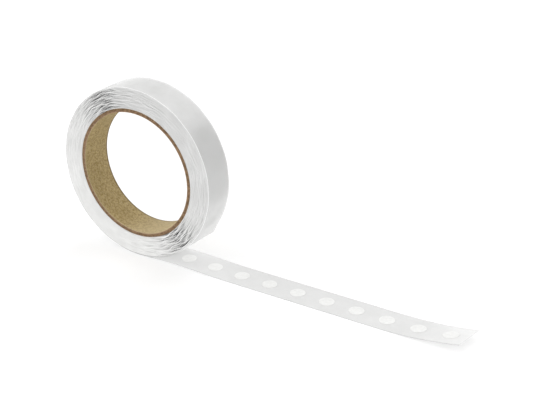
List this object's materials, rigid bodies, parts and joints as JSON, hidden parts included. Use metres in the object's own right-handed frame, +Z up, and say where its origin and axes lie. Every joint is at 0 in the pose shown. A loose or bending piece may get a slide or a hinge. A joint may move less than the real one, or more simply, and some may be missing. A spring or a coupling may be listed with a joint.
{
  "type": "adhesive dot roll",
  "caption": "Roll of round adhesive dots on a clear release strip wound on a thin paper core, with a loose end lying flat and its tip curled up.",
  "frame": {"origin": "on the surface the roll stands on, straight under the roll axis, at the middle of the strip width", "axes": "+Z up, Y along the axis of the roll, +X along the loose end of the strip, away from the roll"},
  "size_m": [0.2652, 0.021, 0.1065],
  "materials": {
    "core_board": "matte grey-brown chipboard",
    "wound_film": "edges of translucent film wound tight",
    "release_film": "milky translucent release film, satin",
    "dot_gel": "soft pressure-sensitive gel, satin white"
  },
  "bodies": {
    "strip": {"outer_turn": "release_film", "strip_base": "release_film", "hidden_dot_01": "dot_gel", "turn_dot_01": "dot_gel", "turn_dot_02": "dot_gel", "turn_dot_03": "dot_gel", "turn_dot_04": "dot_gel", "turn_dot_05": "dot_gel", "turn_dot_06": "dot_gel", "turn_dot_07": "dot_gel", "turn_dot_08": "dot_gel", "turn_dot_09": "dot_gel", "turn_dot_10": "dot_gel", "turn_dot_11": "dot_gel", "turn_dot_12": "dot_gel", "turn_dot_13": "dot_gel", "turn_dot_14": "dot_gel", "turn_dot_15": "dot_gel", "turn_dot_16": "dot_gel", "turn_dot_17": "dot_gel"},
    "roll": {"core_inner_ply": "core_board", "core_body_ply_1": "core_board", "core_body_ply_2": "core_board", "core_outer_ply": "core_board", "wound_strip": "wound_film"},
    "loose_strip_1": {"loose_strip_1": "release_film"},
    "loose_strip_2": {"loose_strip_2": "release_film"},
    "loose_strip_3": {"loose_strip_3": "release_film"},
    "loose_strip_4": {"loose_strip_4": "release_film"},
    "loose_strip_5": {"loose_strip_5": "release_film"},
    "loose_strip_6": {"loose_strip_6": "release_film"},
    "loose_strip_7": {"loose_strip_7": "release_film"},
    "loose_strip_8": {"loose_strip_8": "release_film"},
    "loose_strip_9": {"loose_strip_9": "release_film"},
    "loose_dot_01": {"loose_dot_01": "dot_gel"},
    "loose_dot_02": {"loose_dot_02": "dot_gel"},
    "loose_dot_03": {"loose_dot_03": "dot_gel"},
    "loose_dot_04": {"loose_dot_04": "dot_gel"},
    "loose_dot_05": {"loose_dot_05": "dot_gel"},
    "loose_dot_06": {"loose_dot_06": "dot_gel"},
    "loose_dot_07": {"loose_dot_07": "dot_gel"},
    "loose_dot_08": {"loose_dot_08": "dot_gel"},
    "loose_dot_09": {"loose_dot_09": "dot_gel"},
    "loose_dot_10": {"loose_dot_10": "dot_gel"}
  },
  "joints": [
    {"name": "roll_turn", "type": "hinge", "parent": "strip", "child": "roll", "pos_m": [0, 0, 0.05326], "axis": [0, 1, 0], "continuous": true},
    {"name": "strip_bend_1", "type": "hinge", "parent": "strip", "child": "loose_strip_1", "pos_m": [0.04005, 0, 0.0008], "axis": [0, -1, 0], "range_deg": [0, 15]},
    {"name": "strip_bend_2", "type": "hinge", "parent": "loose_strip_1", "child": "loose_strip_2", "pos_m": [0.05915, 0, 0.00016], "axis": [0, -1, 0], "range_deg": [0, 15]},
    {"name": "strip_bend_3", "type": "hinge", "parent": "loose_strip_2", "child": "loose_strip_3", "pos_m": [0.07825, 0, 0.00006], "axis": [0, -1, 0], "range_deg": [0, 15]},
    {"name": "strip_bend_4", "type": "hinge", "parent": "loose_strip_3", "child": "loose_strip_4", "pos_m": [0.09735, 0, 0.00006], "axis": [0, -1, 0], "range_deg": [0, 15]},
    {"name": "strip_bend_5", "type": "hinge", "parent": "loose_strip_4", "child": "loose_strip_5", "pos_m": [0.11645, 0, 0.00006], "axis": [0, -1, 0], "range_deg": [0, 15]},
    {"name": "strip_bend_6", "type": "hinge", "parent": "loose_strip_5", "child": "loose_strip_6", "pos_m": [0.13555, 0, 0.00006], "axis": [0, -1, 0], "range_deg": [0, 15]},
    {"name": "strip_bend_7", "type": "hinge", "parent": "loose_strip_6", "child": "loose_strip_7", "pos_m": [0.15465, 0, 0.00006], "axis": [0, -1, 0], "range_deg": [0, 15]},
    {"name": "strip_bend_8", "type": "hinge", "parent": "loose_strip_7", "child": "loose_strip_8", "pos_m": [0.17375, 0, 0.00022], "axis": [0, -1, 0], "range_deg": [0, 15]},
    {"name": "strip_bend_9", "type": "hinge", "parent": "loose_strip_8", "child": "loose_strip_9", "pos_m": [0.19285, 0, 0.00167], "axis": [0, -1, 0], "range_deg": [0, 15]},
    {"name": "peel_dot_01", "type": "slide", "parent": "strip", "child": "loose_dot_01", "axis": [0.0165, 0, 0.9999], "range_m": [0, 0.005]},
    {"name": "peel_dot_02", "type": "slide", "parent": "loose_strip_1", "child": "loose_dot_02", "axis": [0.0358, 0, 0.9994], "range_m": [0, 0.012]},
    {"name": "peel_dot_03", "type": "slide", "parent": "loose_strip_2", "child": "loose_dot_03", "axis": [0.0015, 0, 1], "range_m": [0, 0.012]},
    {"name": "peel_dot_04", "type": "slide", "parent": "loose_strip_3", "child": "loose_dot_04", "axis": [0, 0, 1], "range_m": [0, 0.012]},
    {"name": "peel_dot_05", "type": "slide", "parent": "loose_strip_4", "child": "loose_dot_05", "axis": [0, 0, 1], "range_m": [0, 0.012]},
    {"name": "peel_dot_06", "type": "slide", "parent": "loose_strip_5", "child": "loose_dot_06", "axis": [0, 0, 1], "range_m": [0, 0.012]},
    {"name": "peel_dot_07", "type": "slide", "parent": "loose_strip_6", "child": "loose_dot_07", "axis": [0, 0, 1], "range_m": [0, 0.012]},
    {"name": "peel_dot_08", "type": "slide", "parent": "loose_strip_7", "child": "loose_dot_08", "axis": [-0.0031, 0, 1], "range_m": [0, 0.012]},
    {"name": "peel_dot_09", "type": "slide", "parent": "loose_strip_8", "child": "loose_dot_09", "axis": [-0.0755, 0, 0.9971], "range_m": [0, 0.012]},
    {"name": "peel_dot_10", "type": "slide", "parent": "loose_strip_9", "child": "loose_dot_10", "axis": [-0.1543, 0, 0.988], "range_m": [0, 0.012]}
  ],
  "couplings": [
    {"joint": "strip_bend_2", "follows": "strip_bend_1", "ratio": 1},
    {"joint": "strip_bend_3", "follows": "strip_bend_1", "ratio": 1},
    {"joint": "strip_bend_4", "follows": "strip_bend_1", "ratio": 1},
    {"joint": "strip_bend_5", "follows": "strip_bend_1", "ratio": 1},
    {"joint": "strip_bend_6", "follows": "strip_bend_1", "ratio": 1},
    {"joint": "strip_bend_7", "follows": "strip_bend_1", "ratio": 1},
    {"joint": "strip_bend_8", "follows": "strip_bend_1", "ratio": 1},
    {"joint": "strip_bend_9", "follows": "strip_bend_1", "ratio": 1}
  ]
}
